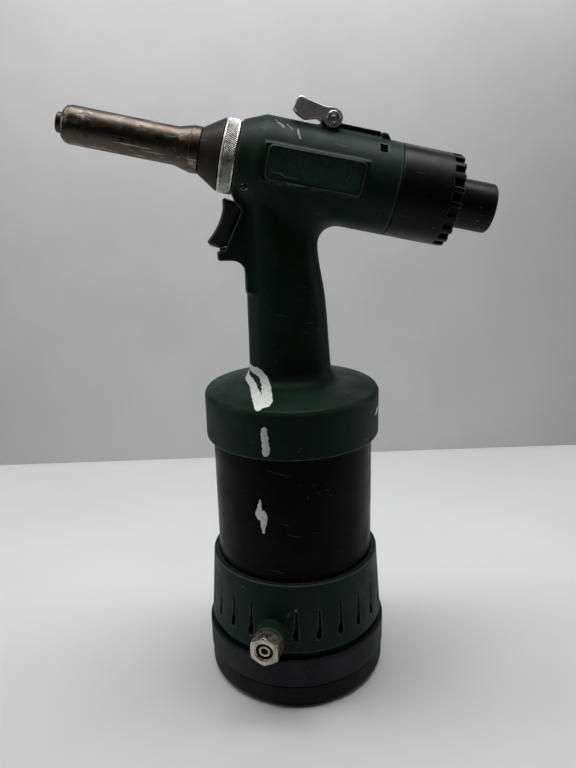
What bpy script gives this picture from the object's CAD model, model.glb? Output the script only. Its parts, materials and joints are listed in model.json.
"""Looks of the air-over-oil blind-rivet gun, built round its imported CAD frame.

Lengths are in millimetres, in the CAD frame, and are turned into metres where a
mesh is made. The riveting head has a frame of its own: along its centre line
(towards the back), sideways, and up from that line.
"""

import json
import math
import random

import bmesh
import bpy
import numpy as np
from mathutils import Matrix, Vector


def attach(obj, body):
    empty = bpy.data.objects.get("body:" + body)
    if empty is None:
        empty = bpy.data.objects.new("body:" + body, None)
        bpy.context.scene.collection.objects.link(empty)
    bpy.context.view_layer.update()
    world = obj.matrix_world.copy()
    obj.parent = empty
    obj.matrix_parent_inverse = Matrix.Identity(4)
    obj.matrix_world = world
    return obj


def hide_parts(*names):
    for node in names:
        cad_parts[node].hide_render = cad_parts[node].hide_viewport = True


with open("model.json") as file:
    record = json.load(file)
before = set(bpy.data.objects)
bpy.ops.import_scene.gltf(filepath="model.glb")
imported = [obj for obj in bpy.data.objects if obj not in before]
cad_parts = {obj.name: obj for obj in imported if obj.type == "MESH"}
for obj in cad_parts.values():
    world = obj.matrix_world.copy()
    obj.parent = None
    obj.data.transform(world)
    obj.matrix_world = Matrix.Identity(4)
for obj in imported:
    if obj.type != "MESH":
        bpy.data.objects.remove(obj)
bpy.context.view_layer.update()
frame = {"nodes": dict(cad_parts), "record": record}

# ---- driving sizes

METRES = 0.001
BLOCK = 4
GAP = 0.3

HEAD_TILT = math.radians(12.23)
HEAD_HEIGHT = 287.4
HEAD_RADIUS = 23.4
HEAD_FRONT = -25.3
HEAD_BACK = 54.7
BARREL_RADIUS = 9.44
COLLAR_RADIUS = 11.6
LOCK_RING_RADIUS = 18.4
LOCK_RING_FRONT = -33.2
CAP_BACK = 86.7
CAP_NOTCHES = 20
CAP_NOTCH = {"width": 4.5, "depth": 2.3, "length": 5.7, "first": 5.2}
MANDREL_TUBE_RADIUS = 12.66
HOOK_PIN = (17.7, 27.4)
HOOK_PIN_HOLE = 2.2
PLATE = {"length": 46.0, "height": 15.0, "along": 13.1, "up": 1.0, "turn": math.radians(-0.7)}
PLATE_PAD_FACE = 22.9
PLATE_PAD = (PLATE["length"] / 2 + 3, PLATE_PAD_FACE, PLATE["height"] / 2 + 1.9)
PLATE_POCKET = (PLATE["length"] / 2 + GAP, PLATE["height"] / 2 + GAP)
PLATE_FACE = PLATE_PAD_FACE - 0.2
TRIGGER_PIN = (-22.1, 278.6)
TRIGGER_PIN_HOLE = 1.8
TRIGGER_HALF_WIDTH = 8.25
TRIGGER_SLOT_HALF = 8.65
SHOULDER_RADIUS = 48.07
SHOULDER_BOTTOM = 146.5
CYLINDER_RADIUS = 44.3
SKIRT = {"bottom": 35.0, "low_radius": 50.4, "top": 75.0, "high_radius": 47.75}
SLOT = {"count": 24, "first": 2.5}
INLET_ANGLE = 17.5
INLET_HEIGHT = 46.0
NUT_HALF = 7.5
NIPPLE_KEY_HALF = 1.8
BOOT_RADIUS = 52.0
# Heights in metres between which the boot's foot and its recess turn dark.
BOOT_FOOT_LEVELS = (0.0145, 0.0138)
BOOT_RECESS_LEVELS = (0.0298, 0.0306)

HEAD = Matrix.Translation((0, 0, HEAD_HEIGHT)) @ Matrix.Rotation(HEAD_TILT, 4, "Y")
INLET = Matrix.Translation((0, 0, INLET_HEIGHT)) @ Matrix.Rotation(
    math.radians(-90 - INLET_ANGLE), 4, "Z"
)
UPRIGHT = Matrix.Rotation(math.radians(-90), 4, "Y")
WORLD = Matrix.Identity(4)
GUN = "gun_body"


# ---- mesh helpers


def placed(points, matrix):
    """Points of a local frame, moved into the CAD frame."""
    turn = np.array(matrix.to_3x3())
    return np.asarray(points, float) @ turn.T + np.array(matrix.translation)


def shown(name, data):
    """A new object with this data, put in the scene."""
    made = bpy.data.objects.new(name, data)
    bpy.context.scene.collection.objects.link(made)
    return made


def piece(name, points, faces, slot, replaces=(), normals=None, look=None, body=GUN):
    """A finished mesh piece: points in millimetres, riding on a body."""
    mesh = bpy.data.meshes.new(name)
    scaled = (np.asarray(points) * METRES).tolist()
    mesh.from_pydata(scaled, [], [tuple(face) for face in faces])
    if normals is None:
        tidy = bmesh.new()
        tidy.from_mesh(mesh)
        bmesh.ops.remove_doubles(tidy, verts=tidy.verts, dist=1e-6)
        bmesh.ops.dissolve_degenerate(tidy, edges=tidy.edges, dist=1e-7)
        bmesh.ops.recalc_face_normals(tidy, faces=tidy.faces)
        tidy.to_mesh(mesh)
        tidy.free()
    mesh.shade_smooth()
    if normals is not None:
        mesh.normals_split_custom_set_from_vertices(normals.tolist())
    made = shown(name, mesh)
    if normals is None:
        weighted = made.modifiers.new("weighted", "WEIGHTED_NORMAL")
        weighted.weight = 80
    made.data.materials.append(LOOKS[look or slot])
    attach(made, body)
    if replaces:
        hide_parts(*replaces)
    return made


def softened(points, radius=0.4, steps=3, closed=True):
    """An outline with each corner rounded; a point may carry its own radius."""
    rounded = []
    count = len(points)
    for index, point in enumerate(points):
        here = np.array(point[:2], float)
        wanted = point[2] if len(point) > 2 else radius
        if wanted == 0 or (not closed and index in (0, count - 1)):
            rounded.append(tuple(here))
            continue
        before = np.array(points[index - 1][:2], float) - here
        after = np.array(points[(index + 1) % count][:2], float) - here
        reach = (np.linalg.norm(before), np.linalg.norm(after))
        before, after = before / reach[0], after / reach[1]
        half = math.acos(max(-1, min(1, float(before @ after)))) / 2
        if half > math.radians(89):
            rounded.append(tuple(here))
            continue
        cut = min(wanted / math.tan(half), 0.48 * min(reach))
        arc_radius = cut * math.tan(half)
        middle = before + after
        middle /= np.linalg.norm(middle)
        centre = here + middle * arc_radius / math.sin(half)
        start, end = here + before * cut - centre, here + after * cut - centre
        sweep = math.pi - 2 * half
        for step in range(steps + 1):
            share = step / steps
            mixed = math.sin((1 - share) * sweep) * start + math.sin(share * sweep) * end
            rounded.append(tuple(centre + mixed / math.sin(sweep)))
    return rounded


def lathe(profile, segments, matrix=HEAD, closed=True):
    """Points and faces of a profile of (radius, along) turned round a local X axis."""
    profile = np.array(profile, float)
    angles = (np.arange(segments) + 0.37)[:, None] * 2 * math.pi / segments
    along = np.broadcast_to(profile[:, 1], (segments, len(profile)))
    points = np.stack(
        [along, profile[:, 0] * np.cos(angles), profile[:, 0] * np.sin(angles)], axis=-1
    )
    rows = len(profile)
    faces = []
    for column in range(segments):
        here, there = column * rows, (column + 1) % segments * rows
        for row in range(rows if closed else rows - 1):
            above = (row + 1) % rows
            faces.append((here + row, here + above, there + above, there + row))
    return placed(points.reshape(-1, 3), matrix), faces


def divided(outline, longest=6.0):
    """The closed outline, with its long sides cut into equal shares."""
    cut = []
    for here, there in zip(outline, outline[1:] + outline[:1]):
        shares = max(1, math.ceil(math.dist(here, there) / longest))
        step = (np.array(there) - np.array(here)) / shares
        cut += [tuple(np.array(here) + share * step) for share in range(shares)]
    return cut


def turned(name, profile, slot, replaces, segments=128, matrix=HEAD, look=None):
    """A lathe piece with rounded corners."""
    points, faces = lathe(divided(softened(profile)), segments, matrix)
    return piece(name, points, faces, slot, replaces, look=look)


# ---- distance fields, for cast and cut shapes


def outline_distance(across, up, corners):
    """Signed distance to a closed outline, below zero inside it."""
    nearest = np.full(across.shape, 1e9, np.float32)
    inside = np.zeros(across.shape, bool)
    for (ax, ay), (bx, by) in zip(corners, corners[1:] + corners[:1]):
        edge_x, edge_y = bx - ax, by - ay
        from_x, from_y = across - ax, up - ay
        length = max(edge_x**2 + edge_y**2, 1e-9)
        share = np.clip((from_x * edge_x + from_y * edge_y) / length, 0, 1)
        gap = (from_x - edge_x * share) ** 2 + (from_y - edge_y * share) ** 2
        nearest = np.minimum(nearest, gap)
        if ay != by:
            crossing = ax + edge_x * (up - ay) / edge_y
            inside ^= ((ay > up) != (by > up)) & (across < crossing)
    return np.where(inside, -1, 1).astype(np.float32) * np.sqrt(nearest)


def joined(first, second, radius):
    """Union with a round fillet."""
    near = np.maximum(radius - first, 0) ** 2 + np.maximum(radius - second, 0) ** 2
    return np.maximum(radius, np.minimum(first, second)) - np.sqrt(near)


def common(first, second, radius):
    """Intersection with a rounded outer edge."""
    return -joined(-first, -second, radius)


def without(first, second, radius):
    """The first with the second cut out, its rim rounded."""
    return -joined(-first, second, radius)


def drum(radial, along, radius, start, end, edge=0.4):
    """A solid round bar between two stations."""
    middle, half = (start + end) / 2, (end - start) / 2
    return common(radial - radius, np.abs(along - middle) - half, edge)


def sampled(field, axes, step):
    """The field on a grid. It is worked out in full only where the surface may be."""
    rough = field(*np.meshgrid(*[axis[::BLOCK] for axis in axes], indexing="ij"))
    for axis, places in enumerate(axes):
        rough = np.repeat(rough, BLOCK, axis).take(range(len(places)), axis)
    value = np.where(rough < 0, -BLOCK * step, BLOCK * step).astype(np.float32)
    near = np.nonzero(np.abs(rough) < (BLOCK * 1.8 + 1) * step)
    value[near] = field(*[axis[index] for axis, index in zip(axes, near)])
    return value


def skin(field, low, high, step):
    """Closed mesh of a field's zero surface, with its vertices drawn onto it."""
    step = step * 1
    axes = [np.arange(a, b + step, step, dtype=np.float32) for a, b in zip(low, high)]
    value = sampled(field, axes, step)
    inside = value < 0
    cells = tuple(size - 1 for size in value.shape)
    total = np.zeros(cells, np.int8)
    for i in (0, 1):
        for j in (0, 1):
            for k in (0, 1):
                total += inside[i : i + cells[0], j : j + cells[1], k : k + cells[2]]
    mixed = (total > 0) & (total < 8)
    number = np.full(cells, -1, np.int64)
    count = int(mixed.sum())
    number[mixed] = np.arange(count)
    sums, hits, faces = np.zeros((count, 3)), np.zeros(count), []
    for axis in range(3):
        side, other = (axis + 1) % 3, (axis + 2) % 3
        size = value.shape[axis] - 1
        near = np.take(value, range(size), axis)
        far = np.take(value, range(1, size + 1), axis)
        edges = np.argwhere((near < 0) != (far < 0))
        at_near, at_far = near[tuple(edges.T)], far[tuple(edges.T)]
        crossing = edges.astype(float)
        crossing[:, axis] += at_near / (at_near - at_far)
        ring = []
        for back_side, back_other in ((1, 1), (0, 1), (0, 0), (1, 0)):
            cell = edges.copy()
            cell[:, side] -= back_side
            cell[:, other] -= back_other
            ring.append(number[tuple(cell.T)])
            for column in range(3):
                sums[:, column] += np.bincount(ring[-1], crossing[:, column], count)
            hits += np.bincount(ring[-1], minlength=count)
        ring = np.stack(ring, axis=1)
        outward = at_near < 0
        faces += [ring[outward], ring[~outward][:, ::-1]]
    points = sums / hits[:, None] * step + np.array(low, float)
    for _ in range(3):
        slope = gradient(field, points)
        here = field(*points.astype(np.float32).T)
        move = (here / np.maximum((slope**2).sum(1), 0.25))[:, None] * slope
        points -= np.clip(move, -step, step)
    slope = gradient(field, points)
    slope /= np.maximum(np.linalg.norm(slope, axis=1), 1e-9)[:, None]
    return points, np.concatenate(faces).tolist(), slope


def gradient(field, points, reach=0.06):
    """Slope of a field at each point, from a step each way along every axis."""
    slope = np.zeros_like(points)
    for axis in range(3):
        step = np.zeros(3)
        step[axis] = reach
        ahead = field(*(points + step).astype(np.float32).T)
        behind = field(*(points - step).astype(np.float32).T)
        slope[:, axis] = (ahead - behind) / (2 * reach)
    return slope


def carved(name, field, box, step, slot, replaces, matrix=WORLD, look=None, body=GUN):
    """A piece cut from a distance field in a box, both given in a local frame."""
    points, faces, slope = skin(field, *box, step)
    turn = np.array(matrix.to_3x3())
    moved = placed(points, matrix)
    return piece(name, moved, faces, slot, replaces, slope @ turn.T, look, body)


# ---- materials


class Look:
    """A Principled material, with short calls for the nodes that feed it."""

    def __init__(self, name, colour, roughness, metallic=0.0, space=WORLD, **sockets):
        self.material = bpy.data.materials.new(name)
        self.material.use_nodes = True
        self.tree = self.material.node_tree
        self.shader = self.tree.nodes["Principled BSDF"]
        self.colour, self.roughness = (*colour, 1.0), roughness
        self.shader.inputs["Metallic"].default_value = metallic
        for socket, value in sockets.items():
            self.shader.inputs[socket.replace("_", " ")].default_value = value
        place = self.tree.nodes.new("ShaderNodeTexCoord").outputs["Object"]
        back = space.inverted()
        self.place = self.moved(place, 1, back.to_euler(), back.translation * METRES)
        self.height = None

    def node(self, kind, links=(), **settings):
        made = self.tree.nodes.new("ShaderNode" + kind)
        for setting, value in settings.items():
            setattr(made, setting, value)
        for socket, value in links:
            self.feed(made.inputs[socket], value)
        return made

    def feed(self, socket, value):
        """Links a socket to another one, or sets it to a plain value."""
        if isinstance(value, bpy.types.NodeSocket):
            self.tree.links.new(value, socket)
        else:
            socket.default_value = value

    def moved(self, vector, scale, turn=(0, 0, 0), shift=(0, 0, 0)):
        size = (scale,) * 3 if isinstance(scale, (int, float)) else scale
        links = [("Vector", vector), ("Scale", size), ("Rotation", turn)]
        return self.node("Mapping", [*links, ("Location", shift)]).outputs[0]

    def noise(self, scale, detail=4.0, rough=0.55, stretch=None, warp=0.0):
        """Noise with this many features per metre, stretched by a vector."""
        vector = self.moved(self.place, stretch or 1)
        links = [("Vector", vector), ("Scale", scale), ("Detail", detail)]
        links += [("Roughness", rough), ("Distortion", warp)]
        return self.node("TexNoise", links).outputs["Fac"]

    def cells(self, scale, feature="F1", stretch=None):
        vector = self.moved(self.place, stretch or 1)
        links = [("Vector", vector), ("Scale", scale)]
        return self.node("TexVoronoi", links, feature=feature).outputs["Distance"]

    def ramp(self, value, low, high, start=0.0, end=1.0):
        """Maps low..high smoothly onto start..end."""
        links = [("Value", value), ("From Min", low), ("From Max", high)]
        links += [("To Min", start), ("To Max", end)]
        made = self.node("MapRange", links, interpolation_type="SMOOTHSTEP")
        return made.outputs["Result"]

    def patches(self, low, high, *noise):
        """A mask of noise: 0 below the low level, and 1 above the high one."""
        return self.ramp(self.noise(*noise), low, high)

    def sum(self, operation, first, second):
        links = [(0, first), (1, second)]
        return self.node("Math", links, operation=operation, use_clamp=True).outputs[0]

    def tint(self, mask, colour, share=None):
        """Lays a colour over what there is, where the mask times a share is 1."""
        if share is not None:
            mask = self.sum("MULTIPLY", mask, share)
        links = [(0, mask), (6, self.colour), (7, (*colour, 1.0))]
        self.colour = self.node("Mix", links, data_type="RGBA").outputs[2]

    def flecks(self, cells, size, patches, low, high, colour):
        """Small bright specks that gather in patches."""
        speck = self.ramp(self.cells(cells), size, 0.05)
        self.tint(speck, colour, self.patches(low, high, patches))

    def shine(self, mask, roughness):
        """Moves the roughness to this value where the mask is 1."""
        links = [("Value", mask), ("To Min", self.roughness), ("To Max", roughness)]
        self.roughness = self.node("MapRange", links).outputs["Result"]

    def relief(self, depth, *noise):
        """Adds a height of noise, depth millimetres tall, to the surface."""
        links = [("Height", self.noise(*noise)), ("Strength", 1.0)]
        links.append(("Distance", depth * METRES))
        if self.height is not None:
            links.append(("Normal", self.height))
        self.height = self.node("Bump", links).outputs["Normal"]

    def done(self):
        self.feed(self.shader.inputs["Base Color"], self.colour)
        self.feed(self.shader.inputs["Roughness"], self.roughness)
        if self.height is not None:
            self.tree.links.new(self.height, self.shader.inputs["Normal"])
        return self.material

    def edges(self, amount):
        """A mask that is 1 on outer edges and corners."""
        pointed = self.node("NewGeometry").outputs["Pointiness"]
        return self.ramp(pointed, 0.5 + amount, 0.5 + 2.2 * amount)


def green_casting():
    look = Look("green_casting", (0.0045, 0.0145, 0.009), 0.43, space=HEAD, Specular_IOR_Level=0.1)
    look.tint(look.patches(0.35, 0.7, 28, 3), (0.0065, 0.0175, 0.012))
    smear = look.patches(0.56, 0.74, 55, 6, 0.6, (1, 2.2, 0.8), 1.2)
    look.tint(smear, (0.02, 0.028, 0.023), 0.5)
    look.shine(look.patches(0.35, 0.7, 70, 5), 0.56)
    look.shine(smear, 0.62)
    look.flecks(420, 0.1, 90, 0.55, 0.62, (0.16, 0.17, 0.16))
    scratch = look.patches(0.715, 0.74, 150, 2, 0.5, (0.35, 1, 5))
    look.tint(scratch, (0.07, 0.085, 0.075), 0.6)
    look.tint(look.edges(0.02), (0.09, 0.1, 0.09), look.noise(300))
    look.relief(0.05, 900, 3)
    look.relief(0.12, 160, 2)
    return look.done()


def black_coat(name, colour, roughness, mirror):
    look = Look(name, colour, roughness, space=HEAD, Specular_IOR_Level=mirror)
    cloud = tuple(2.4 * value for value in colour)
    look.tint(look.patches(0.42, 0.75, 45, 5), cloud)
    look.shine(look.patches(0.35, 0.7, 60, 5, 0.6), 0.5)
    look.flecks(300, 0.09, 60, 0.56, 0.64, (0.22, 0.22, 0.21))
    scratch = look.patches(0.72, 0.745, 130, 2, 0.5, (0.3, 1, 6))
    look.tint(scratch, (0.06, 0.06, 0.058), 0.7)
    look.tint(look.edges(0.03), (0.12, 0.12, 0.115), look.noise(240))
    look.relief(0.02, 1400, 2)
    return look.done()


def rubber():
    look = Look("rubber", (0.0085, 0.0092, 0.0125), 0.5, Specular_IOR_Level=0.16)
    look.tint(look.patches(0.4, 0.72, 40, 5), (0.017, 0.0185, 0.021))
    dust = look.patches(0.58, 0.74, 230, 6, 0.7)
    look.tint(dust, (0.045, 0.047, 0.05), 0.55)
    look.shine(look.patches(0.3, 0.7, 50, 4), 0.68)
    scuff = look.patches(0.69, 0.74, 120, 3, 0.6, (1, 1, 7))
    look.tint(scuff, (0.07, 0.073, 0.078), 0.7)
    height = look.node("SeparateXYZ", [("Vector", look.place)]).outputs["Z"]
    foot = look.ramp(height, *BOOT_FOOT_LEVELS)
    recess = look.ramp(height, *BOOT_RECESS_LEVELS)
    look.tint(look.sum("MAXIMUM", foot, recess), (0.0022, 0.0022, 0.0026))
    look.relief(0.03, 2200, 2)
    look.relief(0.1, 120, 3)
    return look.done()


def seal_rubber():
    look = Look("seal_rubber", (0.012, 0.012, 0.012), 0.42)
    look.tint(look.patches(0.45, 0.7, 300), (0.022, 0.021, 0.02))
    look.relief(0.02, 2500, 2)
    return look.done()


def burnished_steel():
    look = Look("burnished_steel", (0.088, 0.074, 0.06), 0.31, 1.0, space=HEAD)
    look.tint(look.patches(0.38, 0.66, 60, 6, 0.6), (0.06, 0.046, 0.036))
    look.tint(look.patches(0.56, 0.68, 210, 6, 0.65), (0.025, 0.02, 0.017))
    rubbed = look.patches(0.55, 0.68, 170, 7, 0.7, (0.5, 1, 1))
    look.tint(rubbed, (0.36, 0.33, 0.29), 0.75)
    look.shine(look.patches(0.35, 0.7, 260, 5, 0.7), 0.5)
    scratch = look.patches(0.64, 0.69, 90, 3, 0.6, (0.25, 6, 6))
    look.tint(scratch, (0.5, 0.47, 0.43), 0.6)
    look.relief(0.06, 700, 5, 0.7)
    look.relief(0.05, 110, 2)
    return look.done()


def knurled_steel():
    look = Look("knurled_steel", (0.74, 0.73, 0.7), 0.25, 1.0, space=HEAD)
    look.tint(look.patches(0.45, 0.66, 140, 6, 0.65), (0.3, 0.29, 0.27))
    pressed = look.node("Attribute", attribute_name="depth").outputs["Fac"]
    look.tint(look.ramp(pressed, 0.85, 0.15), (0.03, 0.027, 0.024))
    look.shine(look.patches(0.35, 0.7, 500, 4), 0.48)
    look.relief(0.04, 1600, 3)
    return look.done()


def metal(name, colour, roughness, dull, grain, spots=0.0, space=HEAD, metallic=1.0):
    """Plain machined or plated metal: cloudy, finely scored, a little dulled."""
    look = Look(name, colour, roughness, metallic, space=space)
    look.tint(look.patches(0.4, 0.7, 160, 5, 0.6), dull)
    look.shine(look.patches(0.35, 0.7, 400, 5, 0.7), min(1, roughness + 0.16))
    if spots:
        pits = look.patches(0.6, 0.68, 900, 5, 0.7)
        look.tint(pits, tuple(0.25 * value for value in dull), spots)
    look.relief(0.02, 500, 3, 0.6, (grain, 3, 3))
    look.relief(0.015, 1500, 3)
    return look.done()


def felt():
    look = Look("felt", (0.012, 0.012, 0.011), 0.95, Specular_IOR_Level=0.05)
    look.tint(look.patches(0.35, 0.7, 400, 6, 0.7), (0.03, 0.029, 0.026))
    look.relief(0.35, 1300, 6, 0.8)
    return look.done()


def nameplate():
    look = Look("nameplate", (0.02, 0.05, 0.037), 0.22, space=HEAD, Coat_Weight=0.25)
    look.tint(look.patches(0.45, 0.7, 60, 4), (0.026, 0.045, 0.036))
    look.shine(look.patches(0.4, 0.7, 90, 6, 0.7), 0.36)
    scratch = look.patches(0.70, 0.725, 240, 3, 0.6, (0.4, 1, 3), 0.6)
    look.tint(scratch, (0.11, 0.13, 0.12), 0.8)
    look.relief(0.02, 300, 3)
    return look.done()


def paint_mark():
    look = Look("paint_mark", (0.72, 0.74, 0.72), 0.55)
    look.tint(look.patches(0.5, 0.68, 420, 6, 0.7), (0.45, 0.47, 0.45))
    look.relief(0.08, 800, 4)
    return look.done()


def scuff_mark():
    look = Look("scuff_mark", (0.2, 0.22, 0.21), 0.6)
    look.tint(look.patches(0.42, 0.6, 900, 6, 0.7), (0.05, 0.06, 0.055))
    look.relief(0.05, 1200, 4)
    return look.done()


def backdrop():
    look = Look("backdrop", (0.52, 0.525, 0.522), 0.7)
    look.tint(look.patches(0.3, 0.7, 6, 3), (0.55, 0.555, 0.552))
    look.relief(0.02, 500, 3)
    return look.done()


LOOKS = {
    "green_casting": green_casting(),
    "black_coat": black_coat("black_coat", (0.0026, 0.0025, 0.0025), 0.31, 0.13),
    "cylinder_black": black_coat("cylinder_black", (0.002, 0.002, 0.0021), 0.3, 0.045),
    "cone_black": black_coat("cone_black", (0.0105, 0.0085, 0.0072), 0.36, 0.17),
    "trigger_black": black_coat("trigger_black", (0.013, 0.012, 0.0115), 0.45, 0.5),
    "rubber": rubber(),
    "seal_rubber": seal_rubber(),
    "burnished_steel": burnished_steel(),
    "knurled_steel": knurled_steel(),
    "bright_steel": metal("bright_steel", (0.72, 0.72, 0.7), 0.16, (0.5, 0.49, 0.47), 3),
    "nickel": metal("nickel", (0.56, 0.52, 0.45), 0.24, (0.3, 0.26, 0.21), 3, 0.9, WORLD),
    "tool_steel": metal("tool_steel", (0.3, 0.3, 0.3), 0.3, (0.16, 0.155, 0.15), 12, 0.4),
    "spring_steel": metal("spring_steel", (0.36, 0.36, 0.37), 0.26, (0.2, 0.2, 0.2), 3),
    "bronze": metal("bronze", (0.45, 0.29, 0.13), 0.3, (0.28, 0.17, 0.08), 12),
    "bare_aluminium": metal("bare_aluminium", (0.6, 0.6, 0.6), 0.3, (0.42, 0.42, 0.42), 12),
    "felt": felt(),
    "nameplate": nameplate(),
    "hook_steel": metal(
        "hook_steel", (0.6, 0.6, 0.58), 0.27, (0.4, 0.4, 0.385), 0.3, metallic=0.5
    ),
    "dark_steel": metal("dark_steel", (0.07, 0.062, 0.055), 0.32, (0.03, 0.026, 0.022), 3, 0.6),
    "paint_mark": paint_mark(),
    "scuff_mark": scuff_mark(),
}

for part in frame["record"]["subparts"]:
    node = frame["nodes"][part["node"]]
    node.data.materials.clear()
    node.data.materials.append(LOOKS[part["material_slot"]])


# ---- body casting


def head_place(x, z):
    """Station along the head's centre line, and height above it."""
    along = x * math.cos(HEAD_TILT) - (z - HEAD_HEIGHT) * math.sin(HEAD_TILT)
    up = x * math.sin(HEAD_TILT) + (z - HEAD_HEIGHT) * math.cos(HEAD_TILT)
    return along, up


def plate_place(along, up):
    """The same place, in the frame of the slightly turned nameplate."""
    back, rise, turn = along - PLATE["along"], up - PLATE["up"], PLATE["turn"]
    level = back * math.cos(turn) - rise * math.sin(turn)
    height = back * math.sin(turn) + rise * math.cos(turn)
    return level, height


def block(offsets, halves, edge):
    """A box with rounded edges, given the distances from its middle."""
    beyond = [np.abs(offset) - half + edge for offset, half in zip(offsets, halves)]
    outside = sum(np.maximum(side, 0) ** 2 for side in beyond)
    inside = np.minimum(np.maximum.reduce(beyond), 0)
    return np.sqrt(outside) + inside - edge


SHOULDER_OUTLINE = softened(
    [
        (0, 178.4, 0), (18, 177.6, 20), (30, 176.3, 20), (40, 174.3, 12), (46.9, 172.3, 1.5),
        (SHOULDER_RADIUS, 170.2, 1.2), (SHOULDER_RADIUS, SHOULDER_BOTTOM, 0.6),
        (CYLINDER_RADIUS + GAP, SHOULDER_BOTTOM, 0.5), (CYLINDER_RADIUS + GAP, 162.5, 0),
        (41, 162.5, 0), (41, 168, 2), (21, 168, 2), (21, 154, 1), (13, 154, 0.5), (13, 162.3, 0),
        (0, 162.3, 0),
    ],
    steps=2,
)
HEAD_OUTLINE = softened(
    [
        (HEAD_FRONT, 0, 0), (HEAD_FRONT, 18.8, 0.6), (-14.2, HEAD_RADIUS, 5),
        (HEAD_BACK, HEAD_RADIUS, 0.35), (HEAD_BACK, 0, 0),
    ],
    steps=4,
)
CHEEK_OUTLINE = softened(
    [
        (-10, 226, 0), (-22.7, 226, 0), (-22.7, 242.6, 9), (-36.6, 242.8, 1.2),
        (-36.8, 247.6, 0.8), (-33, 247.6, 0.8), (-23.6, 267.6, 2), (-26.8, 271.4, 3),
        (-28.4, 276, 3), (-26, 284, 3), (-10, 284, 0),
    ],
    steps=5,
)
TRIGGER_SLOT_OUTLINE = [
    (-40, 246.2), (-26.6, 246.2), (-23.5, 256), (-18.9, 276.4), (-18.9, 280), (-20.6, 281.7),
    (-24, 282), (-30.5, 281), (-40, 275),
]
STOP_OUTLINE = softened(
    [(43.3, 19), (43.3, 25.8, 0.6), (46.4, 25.8, 2), (48.6, 22.6, 0.8), (48.6, 19)], steps=4
)

HANDLE_FRONT = -22.7
HANDLE_HALF_WIDTH = 18.3
HANDLE_FULLNESS = 2.35
HANDLE_HEIGHTS = np.arange(150, 320, 1.0)
HANDLE_BACKS = np.interp(
    HANDLE_HEIGHTS,
    [150, 184, 197, 206, 215, 224, 232, 240, 248, 320],
    [23.5, 21.7, 20.7, 20.2, 19.5, 18.7, 17.3, 15.8, 15.0, 14.6],
)
HANDLE_BACKS = np.convolve(np.pad(HANDLE_BACKS, 5, "edge"), np.ones(11) / 11, "valid")


def handle_field(x, y, z):
    back = np.interp(z, HANDLE_HEIGHTS, HANDLE_BACKS)
    middle, half = (back + HANDLE_FRONT) / 2, (back - HANDLE_FRONT) / 2
    across, side = np.abs(x - middle) / half, np.abs(y) / HANDLE_HALF_WIDTH
    swell = (across**HANDLE_FULLNESS + side**HANDLE_FULLNESS) ** (1 / HANDLE_FULLNESS)
    reach = np.hypot(x - middle, y)
    wall = reach * (1 - 1 / np.maximum(swell, 0.1))
    return np.maximum(wall, np.abs(z - 221) - 56)


def casting_field(x, y, z):
    along, up = head_place(x, z)
    level, height = plate_place(along, up)
    radial = np.hypot(x, y)
    head_radial = np.hypot(y, up)

    head = outline_distance(along, head_radial, HEAD_OUTLINE)
    head = joined(head, block((level, y, height), PLATE_PAD, 0.9), 0.8)
    seat = block((along - 29.5, y, up - 15.2), (18.5, 6.5, 8.2), 0.5)
    stop = common(outline_distance(along, up, STOP_OUTLINE), np.abs(y) - 6.5, 0.7)
    head = joined(head, np.minimum(seat, stop), 0.6)

    share = np.clip((x + 14) / 18, 0, 1)
    fillet = 2.5 + 9.5 * share * share * (3 - 2 * share)
    solid = joined(handle_field(x, y, z), head, fillet)
    solid = joined(solid, outline_distance(radial, z, SHOULDER_OUTLINE), 6.5)
    cheeks = common(outline_distance(x, z, CHEEK_OUTLINE), np.abs(y) - 12.6, 1.4)
    solid = joined(solid, cheeks, 2.5)
    solid = np.maximum(solid, np.minimum(HEAD_FRONT - along, z - 262))

    slot = np.maximum(outline_distance(x, z, TRIGGER_SLOT_OUTLINE), np.abs(y) - TRIGGER_SLOT_HALF)
    solid = without(solid, slot, 0.5)
    pocket = np.maximum(np.abs(level) - PLATE_POCKET[0], np.abs(height) - PLATE_POCKET[1])
    solid = without(solid, np.maximum(pocket, 21.7 - np.abs(y)), 0.35)
    pin_hole = np.hypot(x - TRIGGER_PIN[0], z - TRIGGER_PIN[1]) - TRIGGER_PIN_HOLE
    solid = without(solid, pin_hole, 0.35)
    square = block((along - 44.55, np.abs(y) - 21.5, up - 17.9), (1.75, 10, 1.7), 0.25)
    solid = without(solid, square, 0.3)
    for station, hole in ((26, 1.8), (37, 1.8), (6, 2.9)):
        bore = drum(np.hypot(along - station, y), up, hole, 20, 30, 0.1)
        solid = np.maximum(solid, -bore)
    bleed = drum(np.hypot(along - 6, y), up, 1.9, 15, 30, 0.1)
    tubes = drum(radial, z, 10.9, 155, 262, 0.2)
    pilot = drum(np.hypot(x + 17.2, y), z, 2.7, 150, 251.4, 0.2)
    port = drum(radial, z, 4, 255, 276, 0.2)
    valve = drum(np.hypot(y, z - 256), x, 5.3, -26, -12.6, 0.2)
    oil = drum(head_radial, along, 17, -2, 70, 0.4)
    neck = drum(head_radial, along, 8.8, -40, 5, 0.2)
    inner = np.minimum.reduce([bleed, tubes, pilot, port, valve, oil, neck])
    return np.maximum(solid, -inner)


CASTING_BOX = ((-50, -50, 144.5), (63, 50, 317))
carved("casting", casting_field, CASTING_BOX, 0.8, "green_casting", ["body_casting"])


# ---- worn paint marks


PAINT_WIDTH = 1.3
HEAD_SCUFFS = [(-9, 31, 2.2, 0.5), (-6.4, 36, 2.8, 0.9), (-2.4, 37, 3.2, 0.5), (1.8, 42, 1.2, 0.7)]
HEAD_SCUFFS += [(2.6, 49, 1.6, 0.8), (19, 103, 1.2, 0.8)]
PLATE_SCRATCHES = [
    [(-8.6, -2.4), (-6, -3.4), (-2.5, -3.2)],
    [(-4.5, -3), (0, -4.6), (5.8, -4.2)],
    [(30.1, 2.4), (28.6, -1.4)],
]


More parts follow.
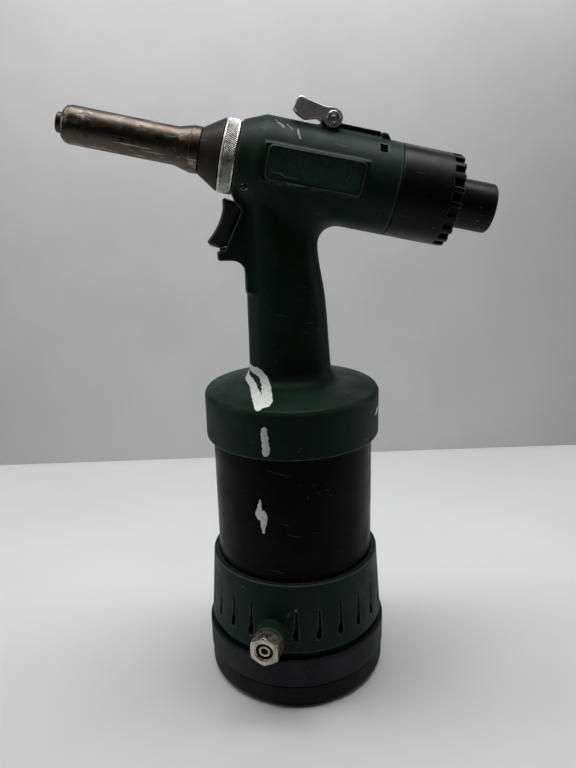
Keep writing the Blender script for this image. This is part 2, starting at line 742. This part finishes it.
def cylinder_field(x, y, z):
    return np.hypot(x, y) - CYLINDER_RADIUS + 0 * z


def near_plate_field(x, y, z):
    return -y - PLATE_FACE + 0 * (x + z)


def paint_stroke(name, path, field, seed, look="paint_mark"):
    """A thin ragged skin of paint along a path of (x, y, z, width) on a surface."""
    ragged = random.Random(seed)
    path = np.array(path, float)
    gaps = np.linalg.norm(np.diff(path[:, :3], axis=0), axis=1)
    reach = np.concatenate([[0], np.cumsum(gaps)])
    stops = np.linspace(0, reach[-1], max(8, int(reach[-1] / 0.35)))
    line = np.stack([np.interp(stops, reach, path[:, column]) for column in range(4)], 1)
    for _ in range(6):
        line[1:-1] = (line[:-2] + 2 * line[1:-1] + line[2:]) / 4
    centre = pulled(field, line[:, :3])
    normal = gradient(field, centre)
    normal /= np.linalg.norm(normal, axis=1)[:, None]
    ahead = np.gradient(centre, axis=0)
    side = np.cross(normal, ahead)
    side /= np.linalg.norm(side, axis=1)[:, None]
    columns = np.linspace(-1, 1, 9)
    rims = np.array([[ragged.uniform(-1, 1) for _ in (0, 1)] for _ in stops])
    for _ in range(2):
        rims[1:-1] = (rims[:-2] + rims[1:-1] + rims[2:]) / 3
    taper = np.sqrt(np.clip(np.minimum(stops, reach[-1] - stops) / (0.6 * line[:, 3]), 0.02, 1))
    half = PAINT_WIDTH * line[:, 3] / 2 * taper
    rough = np.minimum(0.55, 0.45 * line[:, 3])
    left, right = half + rims[:, 0] * rough, half + rims[:, 1] * rough
    points = []
    for column in columns:
        width = np.where(column < 0, left, right).clip(0.05) * column
        spread = pulled(field, centre + side * width[:, None])
        points.append(spread + normal * (0.04 + 0.1 * (1 - column**4)))
    points = np.stack(points, 1).reshape(-1, 3)
    faces = []
    for row in range(len(stops) - 1):
        for column in range(len(columns) - 1):
            corner = row * len(columns) + column
            faces.append((corner, corner + 1, corner + len(columns) + 1, corner + len(columns)))
    made = piece(name, points, faces, "green_casting", look=look)
    made.modifiers.clear()


def pulled(field, points):
    """The points, drawn onto the field's zero surface."""
    points = points.copy()
    for _ in range(4):
        slope = gradient(field, points)
        here = field(*points.astype(np.float32).T)
        points -= (here / np.maximum((slope**2).sum(1), 0.25))[:, None] * slope
    return points


def paint_marks():
    left_arm = [(-24, 6, 183, 2), (-22.6, -3.7, 178, 2.6), (-20.4, -19.7, 177, 3.2)]
    left_arm += [(-19.2, -28.7, 176, 4), (-17.8, -37.4, 174, 4.6), (-18.6, -43, 172, 2)]
    right_arm = [(-22.6, 1.5, 185, 2), (-20.5, -8, 184.5, 3), (-16.8, -13.8, 183.5, 3.4)]
    right_arm += [(-15, -16.8, 180, 3.6), (-14.2, -20.5, 178, 3.6), (-13.6, -29, 176, 4)]
    right_arm += [(-14, -36.4, 174.5, 4.6), (-16.2, -41.4, 173, 3)]
    shoulder = [(-15.2, -45.6, 164.5, 1.2), (-16, -45.3, 162, 2.8), (-15.7, -45.4, 157.7, 2.8)]
    shoulder += [(-15.1, -45.6, 153, 3.2), (-16, -45.3, 148.6, 2.4)]
    edge_mark = [(46.3, -13.2, 162.5, 1), (44.8, -17.6, 161, 2.2), (43.8, -20, 160, 0.8)]
    paint_stroke("paint_loop_left", left_arm, casting_field, 3)
    paint_stroke("paint_loop_right", right_arm, casting_field, 4)
    paint_stroke("paint_dash_shoulder", shoulder, casting_field, 5)
    paint_stroke("paint_fleck_edge", edge_mark, casting_field, 6)
    upper = [(-19.2, -39.9, 122.5, 0.9), (-19.5, -39.8, 118, 2), (-20.2, -39.5, 114, 3.2)]
    upper += [(-19.4, -39.9, 110.5, 2.6)]
    lower = [(-17.9, -40.5, 116.5, 1.6), (-17.4, -40.7, 113.5, 3), (-17.6, -40.6, 110, 2.8)]
    lower += [(-18.2, -40.4, 107, 2), (-17.8, -40.5, 103, 0.9)]
    paint_stroke("paint_dash_upper", upper, cylinder_field, 7)
    paint_stroke("paint_dash_lower", lower, cylinder_field, 8)
    for number, (along, turn, length, width) in enumerate(HEAD_SCUFFS, 1):
        path = []
        for share in (-0.5, 0, 0.5):
            angle = math.radians(turn + 9 * share)
            across, up = -HEAD_RADIUS * math.sin(angle), HEAD_RADIUS * math.cos(angle)
            place = HEAD @ Vector((along + length * share, across, up))
            path.append((*place, width))
        paint_stroke(f"head_scuff_{number}", path, casting_field, 20 + number, "scuff_mark")
    for number, scratch in enumerate(PLATE_SCRATCHES, 1):
        path = [(*(HEAD @ Vector((along, -PLATE_FACE, up))), 0.24) for along, up in scratch]
        paint_stroke(f"plate_scratch_{number}", path, near_plate_field, 30 + number, "scuff_mark")


paint_marks()


# ---- nose and rear


def nosepiece():
    profile = [(2.3, -115.6), (4.6, -115.6, 0.7), (5, -115, 0.4), (5, -106.2), (3.3, -104)]
    profile.append((2.3, -104))
    turned("nose_tip", profile, "tool_steel", ["nosepiece"], 64, look="dark_steel")


def nose_barrel():
    profile = [
        (5.3, -112.5, 0.3), (6.9, -112.5, 0.8), (8.7, -111.1, 1.6), (BARREL_RADIUS, -108.6, 2),
        (BARREL_RADIUS, -56.4, 8), (COLLAR_RADIUS - 0.35, -49.8, 1.2),
        (COLLAR_RADIUS - 0.35, -49.2, 0), (COLLAR_RADIUS, -49, 0.15),
        (COLLAR_RADIUS, -44.4, 0.3), (9.4, -44.4, 0), (9.4, -35.4), (7.3, -35.4), (7.3, -107),
        (5.3, -107),
    ]
    turned("barrel", profile, "burnished_steel", ["nose_barrel"])


def nose_adapter():
    profile = [
        (9.75, -44), (COLLAR_RADIUS, -44, 0.25), (18.2, -33.5, 0.3), (12.7, -33.5),
        (12.7, -25.6), (8.5, -25.6), (8.5, -20.4), (6.4, -20.4), (6.4, -24), (7.4, -25),
        (7.4, -35), (9.75, -35),
    ]
    turned("adapter_cone", profile, "black_coat", ["nose_adapter"], look="cone_black")


KNURL = {"teeth": 112, "per_tooth": 8, "row": 0.13, "depth": 0.3, "start": -32.5, "end": -26.3}


def lock_ring():
    """A turned ring with a cross-cut knurl pressed into its rim."""
    rim = LOCK_RING_RADIUS
    rows = int((KNURL["end"] - KNURL["start"]) / KNURL["row"])
    stations = np.linspace(KNURL["start"], KNURL["end"], rows)
    back = HEAD_FRONT - GAP
    profile = [(13.1, LOCK_RING_FRONT), (rim - 0.7, LOCK_RING_FRONT), (rim - 0.2, -32.9)]
    profile += [(rim, station) for station in stations]
    profile += [(rim - 0.2, back - 0.4), (rim - 0.7, back), (13.1, back)]
    segments = KNURL["teeth"] * KNURL["per_tooth"]
    points, faces = lathe(profile, segments, WORLD)
    angle = np.arctan2(points[:, 2], points[:, 1])
    pitch = 2 * math.pi * rim / KNURL["teeth"]
    around = angle * KNURL["teeth"] / (2 * math.pi)
    lean = points[:, 0] / pitch * 0.72
    ridges = [np.abs(((around + side * lean) % 1) - 0.5) * 2 for side in (1, -1)]
    height = np.minimum(*ridges) * 1.35
    height = np.clip(height, 0, 0.8) / 0.8
    fade = np.clip((points[:, 0] - KNURL["start"]) / 0.5, 0, 1)
    fade *= np.clip((KNURL["end"] - points[:, 0]) / 0.5, 0, 1)
    on_rim = np.hypot(points[:, 1], points[:, 2]) > rim - 0.05
    sunk = np.where(on_rim, (1 - height) * fade, 0)
    scale = 1 - sunk * KNURL["depth"] / rim
    points[:, 1:] *= scale[:, None]
    ring = placed(points, HEAD)
    made = piece("knurled_ring", ring, faces, "knurled_steel", ["lock_ring"], body="nose_ring")
    made.modifiers.clear()
    depth = made.data.attributes.new("depth", "FLOAT", "POINT")
    depth.data.foreach_set("value", (1 - sunk).astype(np.float32))


CAP_OUTLINE = softened(
    [
        (51, 6.4, 0), (51, 16.7, 0.3), (52, 16.7, 0), (52, 14.6, 0), (54, 14.6, 0),
        (54, 16.7, 0), (55, 16.7, 0), (55, HEAD_RADIUS, 0.45), (CAP_BACK, HEAD_RADIUS, 0.9),
        (CAP_BACK, 13.06, 0.5), (71.7, 13.06, 0), (71.7, 11, 0), (61, 11, 0), (61, 6.4, 0),
    ],
    steps=3,
)


def folded(angle, first, count):
    """Angle from the nearest of equally spaced marks."""
    pitch = 2 * math.pi / count
    return (angle - math.radians(first) + pitch / 2) % pitch - pitch / 2


def rear_cap_field(along, y, up):
    radial = np.hypot(y, up)
    solid = outline_distance(along, radial, CAP_OUTLINE)
    turn = folded(np.arctan2(up, -y), CAP_NOTCH["first"], CAP_NOTCHES)
    sideways = np.abs(radial * np.sin(turn)) - CAP_NOTCH["width"] / 2
    floor = HEAD_RADIUS - CAP_NOTCH["depth"] - radial * np.cos(turn)
    front = CAP_BACK - CAP_NOTCH["length"] - along
    notch = common(common(sideways, front, 0.4), floor, 0.2)
    return without(solid, notch, 0.35)


def rear():
    box = ((50, -24.6, -24.6), (88, 24.6, 24.6))
    carved("end_cap", rear_cap_field, box, 0.42, "black_coat", ["rear_cap"], HEAD)
    tube = [(10, 72), (MANDREL_TUBE_RADIUS, 72), (MANDREL_TUBE_RADIUS, 107.8, 1.3)]
    tube.append((10, 107.8, 0.7))
    turned("outlet_tube", tube, "black_coat", ["mandrel_tube"])


def plate_outline(margin, radius):
    """The plate's outline, grown all round by a margin."""
    half, rise = PLATE["length"] / 2 + margin, PLATE["height"] / 2 + margin
    return softened([(-half, -rise), (half, -rise), (half, rise), (-half, rise)], radius, 5)


def plate_field(level, out, height):
    flat = outline_distance(level, height, plate_outline(0, 2))
    return common(flat, np.abs(out) - 0.35, 0.3)


def bezel_field(level, out, height):
    """A raised frame round the plate, its outer edge cut at a slant."""
    outer = outline_distance(level, height, plate_outline(1.25, 3))
    slanted = (outer + out - 0.1) * 0.7071
    solid = common(common(outer, slanted, 0.25), np.abs(out + 1.4) - 2.3, 0.25)
    return without(solid, outline_distance(level, height, plate_outline(0.1, 2.1)), 0.25)


def bead_field(level, out, height):
    """The dark bead of sealer between the frame and the casting."""
    rim = outline_distance(level, height, plate_outline(2, 3.4))
    well = outline_distance(level, height, plate_outline(1, 2.8))
    return common(np.maximum(rim, -well), np.abs(out + 1.9) - 1.15, 0.2)


def nameplates():
    turn = Matrix.Rotation(PLATE["turn"], 4, "Y")
    reach = (PLATE["length"] / 2 + 2.8, PLATE["height"] / 2 + 2.8)
    box = ((-reach[0], -3.9, -reach[1]), (reach[0], 1.4, reach[1]))
    for name, side in (("right", 1), ("left", -1)):
        middle = Matrix.Translation((PLATE["along"], side * PLATE_PAD_FACE, PLATE["up"]))
        flip = Matrix.Rotation(math.radians(90 - 90 * side), 4, "X")
        place = HEAD @ middle @ turn @ flip
        carved(f"plate_frame_{name}", bezel_field, box, 0.34, "green_casting", [], place)
        carved(f"plate_bead_{name}", bead_field, box, 0.34, "seal_rubber", [], place)
    box = ((-reach[0], -1.2, -reach[1]), (reach[0], 1.2, reach[1]))
    for name, side in (("nameplate_right", 1), ("nameplate_left", -1)):
        out = side * (PLATE_PAD_FACE - 0.55)
        middle = HEAD @ Matrix.Translation((PLATE["along"], out, PLATE["up"])) @ turn
        carved(f"{name}_face", plate_field, box, 0.3, "nameplate", [name], middle)


nosepiece()
nose_barrel()
nose_adapter()
lock_ring()
rear()
nameplates()


# ---- the hook

ARM_OUTLINE = softened(
    [
        (17.7, 22.9, 0), (14.6, 24.6, 2), (11.2, 26.5, 3), (4.3, 24.7, 1.6), (0.2, 26.6, 3),
        (-2.1, 28.9, 1.6), (-0.9, 34.1, 2.2), (13.4, 31.7, 3), (17.7, 31.9, 0),
    ],
    steps=4,
)
CROSSBAR_OUTLINE = softened(
    [(-2.1, 28.8, 1.2), (0.2, 27.4, 1.2), (2.6, 30.5, 2), (2.4, 34.1, 1), (-0.9, 34.1, 2)],
    steps=4,
)


def bail_field(along, y, up):
    sideways = np.abs(y)
    from_pin = np.hypot(along - HOOK_PIN[0], up - HOOK_PIN[1])
    arm = joined(outline_distance(along, up, ARM_OUTLINE), from_pin - 4.7, 1)
    arms = common(arm, np.abs(sideways - 8.1) - 1.2, 0.45)
    bar = common(outline_distance(along, up, CROSSBAR_OUTLINE), sideways - 9.3, 0.8)
    return without(joined(arms, bar, 1.2), from_pin - HOOK_PIN_HOLE, 0.25)


def bracket_field(along, y, up):
    sideways = np.abs(y)
    base = block((along - 27.6, y, up - 24.825), (15.1, 5.6, 1.075), 0.35)
    from_pin = np.hypot(along - HOOK_PIN[0], up - HOOK_PIN[1])
    foot = np.maximum(np.abs(along - 17.7) - 4.6, np.abs(up - 25.4) - 1.6)
    ear = joined(from_pin - 3.9, foot, 0.5)
    ears = common(ear, np.abs(sideways - 5.4) - 1.2, 0.35)
    solid = without(joined(base, ears, 0.4), from_pin - HOOK_PIN_HOLE, 0.2)
    for station in (26, 37):
        hole = np.hypot(along - station, y) - 2.6
        solid = without(solid, hole, 0.2)
    return solid


def hexagon(y, up, half):
    """Distance from the flats of a hexagonal bar."""
    sides = [y * math.cos(turn) + up * math.sin(turn) for turn in np.radians([0, 60, 120])]
    return np.maximum.reduce([np.abs(side) for side in sides]) - half


def crossways(x, z):
    """A frame at a point, with its X axis along the Y axis outside it."""
    return Matrix.Translation((x, 0, z)) @ Matrix.Rotation(math.radians(90), 4, "Z")


def socket_screw(name, node, matrix, length, shank, head, head_length):
    """A screw whose head, with a hexagon socket, ends at the local origin."""

    def field(along, y, up):
        radial = np.hypot(y, up)
        solid = drum(radial, along, head, -head_length, 0, 0.3)
        solid = np.minimum(solid, drum(radial, along, shank, -length, 0, 0.2))
        socket = np.maximum(hexagon(y, up, head * 0.5), -head_length * 0.65 - along)
        return without(solid, socket, 0.08)

    reach = head + 0.4
    box = ((-length - 0.5, -reach, -reach), (0.5, reach, reach))
    carved(name, field, box, head * 0.07, "tool_steel", [node], matrix)


def hook():
    box = ((-3.4, -10.3, 21.6), (23.4, 10.3, 35.6))
    made = ("hook", bail_field, box, 0.28, "nickel", ["hook_bail"], HEAD)
    carved(*made, look="hook_steel", body="hook")
    box = ((11.6, -7.6, 22.8), (43.6, 7.6, 32.2))
    carved("hook_saddle", bracket_field, box, 0.3, "black_coat", ["hook_bracket"], HEAD)
    end = [(0, 9.2, 0), (1.7, 9.2, 0), (2.1, 10.8, 0.2), (3.0, 11, 0.3), (3.3, 10.5, 0.3)]
    end += [(3.3, 9.6, 0.1), (1.9, 9.6, 0)]
    pin = [(radius, -along, corner) for radius, along, corner in end]
    pin += end[::-1]
    across = HEAD @ crossways(*HOOK_PIN)
    turned("hook_pivot", pin, "bright_steel", ["hook_pin"], 64, across)
    for number, station in enumerate((26, 37), 1):
        top = HEAD @ Matrix.Translation((station, 0, 25.8)) @ UPRIGHT
        name = f"bracket_screw_{number}"
        socket_screw(f"{name}_detail", name, top, 5.8, 1.5, 2.25, 1.9)
    top = HEAD @ Matrix.Translation((6, 0, 23)) @ UPRIGHT
    socket_screw("bleed_plug", "bleed_screw", top, 6.4, 1.6, 2.6, 2.6)


hook()


# ---- the trigger

TRIGGER_OUTLINE = softened(
    [
        (-33.1, 273.7, 0.8), (-33.3, 267.8, 12), (-35.2, 262, 20), (-38.3, 256.7, 20),
        (-41.9, 252.2, 0.9), (-40.4, 250.2, 0.9), (-36.3, 248.8, 2), (-31.6, 249.6, 2),
        (-28.2, 253.5, 1), (-27.9, 258.6, 2), (-22.8, 268.5, 2), (-20.4, 276.4, 0),
        (-22.1, 281.5, 2), (-25.4, 275.5, 1), (-25.6, 270.9, 0.8),
    ],
    steps=4,
)


def trigger_field(x, y, z):
    from_pin = np.hypot(x - TRIGGER_PIN[0], z - TRIGGER_PIN[1])
    lever = joined(outline_distance(x, z, TRIGGER_OUTLINE), from_pin - 2.9, 0.6)
    solid = common(lever, np.abs(y) - TRIGGER_HALF_WIDTH, 2.2)
    return without(solid, from_pin - TRIGGER_PIN_HOLE, 0.2)


def trigger():
    box = ((-43.2, -9.4, 247.6), (-18.2, 9.4, 282.8))
    made = ("trigger_lever", trigger_field, box, 0.32, "black_coat", ["trigger"])
    carved(*made, look="trigger_black", body="trigger_lever")
    pin = [(0, -15.2, 0), (1.5, -15.2, 0.35), (1.5, 15.2, 0.35), (0, 15.2, 0)]
    across = crossways(*TRIGGER_PIN)
    turned("trigger_pivot_pin", pin, "tool_steel", ["trigger_pin"], 48, across)


trigger()


# ---- cylinder, base and inlet

SKIRT_OUTLINE = softened(
    [
        (45.5, 4.6, 0), (48.4, 4.6, 0.8), (48.4, 35, 0),
        (SKIRT["low_radius"], SKIRT["bottom"], 0.6), (SKIRT["high_radius"], SKIRT["top"], 0.45),
        (CYLINDER_RADIUS + GAP, SKIRT["top"], 0.3), (CYLINDER_RADIUS + GAP, 64, 0),
        (46.5, 62, 0), (46.5, 35.7, 0), (34.5, 35.7, 0), (34.5, 33, 0), (45.5, 33, 0),
        (45.5, 8, 0), (46.7, 8, 0), (46.7, 6, 0), (45.5, 6, 0),
    ],
    steps=3,
)
DROP_OUTLINE = softened(
    [
        (-1.1, 42, 1.3), (2.1, 42, 1.5), (1.9, 46, 2.5), (0.6, 50, 6), (0.15, 61.5, 0),
        (-0.35, 61.5, 0), (-0.9, 50, 6),
    ],
    steps=5,
)


def skirt_field(x, y, z):
    radial = np.hypot(x, y)
    solid = outline_distance(radial, z, SKIRT_OUTLINE)
    inlet = math.radians(INLET_ANGLE)
    out = -x * math.sin(inlet) - y * math.cos(inlet)
    side = -x * math.cos(inlet) + y * math.sin(inlet)
    from_inlet = np.hypot(side, z - INLET_HEIGHT)
    boss = drum(from_inlet, out, 8.3, 47.5, 57, 0.7)
    solid = joined(solid, boss, 1.2)

    angle = np.arctan2(-x, -y)
    turn = folded(angle, SLOT["first"], SLOT["count"])
    drop = outline_distance(radial * np.sin(turn), z, DROP_OUTLINE)
    beside = np.cos(angle - inlet) - math.cos(math.radians(7))
    cut = np.maximum(np.maximum(drop, 43.5 - radial), beside * 60)
    solid = without(solid, cut, 0.45)
    return np.maximum(solid, -drum(from_inlet, out, 5.5, 40, 60, 0.1))


def nut_field(along, y, up):
    radial = np.hypot(y, up)
    bevel = (radial - NUT_HALF - (66 - along) * 1.9) * 0.5
    back_bevel = (radial - (NUT_HALF + 0.4) - (along - 57.3) * 1.9) * 0.5
    solid = common(hexagon(y, up, NUT_HALF), np.abs(along - 61.65) - 4.35, 0.25)
    solid = common(common(solid, bevel, 0.2), back_bevel, 0.2)
    step = drum(radial, along, 5.3, 65.3, 70, 0.2)
    return without(without(solid, radial - 4.7, 0.35), step, 0.2)


def nipple_field(along, y, up):
    radial = np.hypot(y, up)
    solid = drum(radial, along, 5.2, 36.3, 57, 0.3)
    solid = np.minimum(solid, drum(radial, along, 3.25, 50, 65, 0.45))
    return without(solid, hexagon(y, up, NIPPLE_KEY_HALF), 0.2)


def lower_end():
    wall = [(41.5, 64), (CYLINDER_RADIUS, 64), (CYLINDER_RADIUS, 160), (41.5, 160)]
    made = ("cylinder_wall", wall, "black_coat", ["air_cylinder"], 192, UPRIGHT)
    turned(*made, look="cylinder_black")
    box = ((-52, -58.4, 3.6), (52, 52, 76.2))
    carved("slotted_skirt", skirt_field, box, 0.62, "green_casting", ["base_cap"])
    boot = [
        (0, 0, 0), (48.6, 0, 1.5), (51.5, 3, 3.5), (51.5, 13.4, 0.4), (51.1, 13.8, 0.2),
        (51.1, 14.3, 0.2), (BOOT_RADIUS, 14.6, 0.5), (BOOT_RADIUS, 30.9, 0.9), (49, 30.9, 0.5),
        (49, 4.2), (0, 4.2, 0),
    ]
    turned("rubber_boot", boot, "rubber", ["boot"], 192, UPRIGHT)
    box = ((56.6, -9.4, -9.4), (66.8, 9.4, 9.4))
    carved("inlet_hexagon", nut_field, box, 0.26, "nickel", ["inlet_nut"], INLET)
    box = ((35.6, -5.9, -5.9), (65.6, 5.9, 5.9))
    carved("inlet_stem", nipple_field, box, 0.26, "nickel", ["inlet_nipple"], INLET)


lower_end()


# ---- backdrop, lights and camera


TABLE_EDGE = 300.0
TABLE_BEND = 80.0
WALL_FOOT = -500.0
WALL_BACK = 1200.0
WALL_BEND = 50.0
WALL_TOP = 1600.0


def quarter_turn(centre, radius, first, last):
    """Points of an arc in the (back, up) plane, from one angle to another."""
    points = []
    for angle in np.radians(np.linspace(first, last, 33)):
        points.append((centre[0] + radius * math.cos(angle), centre[1] + radius * math.sin(angle)))
    return points


def backdrop_sheet():
    """A pale sheet: it lies flat, drops behind the object, then rises as a far wall."""
    line = [(-3000.0, 0.0)]
    line += quarter_turn((TABLE_EDGE, -TABLE_BEND), TABLE_BEND, 90, 0)
    foot = (WALL_BACK - WALL_BEND, WALL_FOOT + WALL_BEND)
    line.append((TABLE_EDGE + TABLE_BEND, WALL_FOOT))
    line += quarter_turn(foot, WALL_BEND, -90, 0)
    line.append((WALL_BACK, WALL_TOP))
    points = [(x, y, z) for x in (-2500.0, 2500.0) for y, z in line]
    rows = len(line)
    faces = [(i, i + rows, i + rows + 1, i + 1) for i in range(rows - 1)]
    mesh = bpy.data.meshes.new("backdrop")
    mesh.from_pydata((np.array(points) * METRES).tolist(), [], faces)
    mesh.shade_smooth()
    mesh.materials.append(backdrop())
    shown("backdrop", mesh)


def soft_light(name, place, target, size, power, spread=180.0):
    lamp = bpy.data.lights.new(name, "AREA")
    lamp.shape, lamp.size, lamp.size_y = "RECTANGLE", size[0], size[1]
    lamp.energy, lamp.spread = power, math.radians(spread)
    made = shown(name, lamp)
    made.location = place
    away = Vector(target) - Vector(place)
    made.rotation_euler = away.to_track_quat("-Z", "Y").to_euler()


def lights():
    soft_light("overhead", (0, 0.06, 0.95), (0, 0.06, 0), (1.2, 0.4), 4.1, 95)
    soft_light("wall", (0.1, 0.75, 1.3), (0, 1.2, 0.5), (2.0, 0.3), 9.7, 100)
    soft_light("low_wall", (0.05, 0.5, -0.35), (0, 1.2, 0.1), (2.0, 0.2), 1.8, 140)
    soft_light("left", (-0.9, 0.1, 0.5), (0, 0.05, 0.2), (0.3, 0.9), 1.1, 120)
    soft_light("right", (0.9, 0.1, 0.5), (0, 0.05, 0.2), (0.3, 0.9), 0.8, 120)
    world = bpy.data.worlds.new("studio")
    bpy.context.scene.world = world
    world.use_nodes = True
    ground = world.node_tree.nodes["Background"]
    ground.inputs["Color"].default_value = (0.9, 0.92, 0.95, 1)
    ground.inputs["Strength"].default_value = 0.03
    bpy.context.scene.view_settings.view_transform = "Standard"


CAMERA_PLACE = (-13.37, -374.79, 285.2)
CAMERA_YAW = math.radians(1.741)
CAMERA_PITCH = math.radians(16.686)
CAMERA_ROLL = math.radians(-1.375)
CAMERA_LENS = 33.05
SENSOR_WIDTH = 36.0


def camera():
    forward = Vector(
        (
            math.sin(CAMERA_YAW) * math.cos(CAMERA_PITCH),
            math.cos(CAMERA_YAW) * math.cos(CAMERA_PITCH),
            -math.sin(CAMERA_PITCH),
        )
    )
    right = Vector((math.cos(CAMERA_YAW), -math.sin(CAMERA_YAW), 0))
    above = right.cross(forward)
    right, above = (
        math.cos(CAMERA_ROLL) * right + math.sin(CAMERA_ROLL) * above,
        math.cos(CAMERA_ROLL) * above - math.sin(CAMERA_ROLL) * right,
    )
    lens = bpy.data.cameras.new("camera")
    lens.lens, lens.sensor_width, lens.clip_start = CAMERA_LENS, SENSOR_WIDTH, 0.01
    made = shown("camera", lens)
    turn = Matrix((right, above, -forward)).transposed()
    made.matrix_world = Matrix.Translation(Vector(CAMERA_PLACE) * METRES) @ turn.to_4x4()
    bpy.context.scene.camera = made


backdrop_sheet()
lights()
camera()
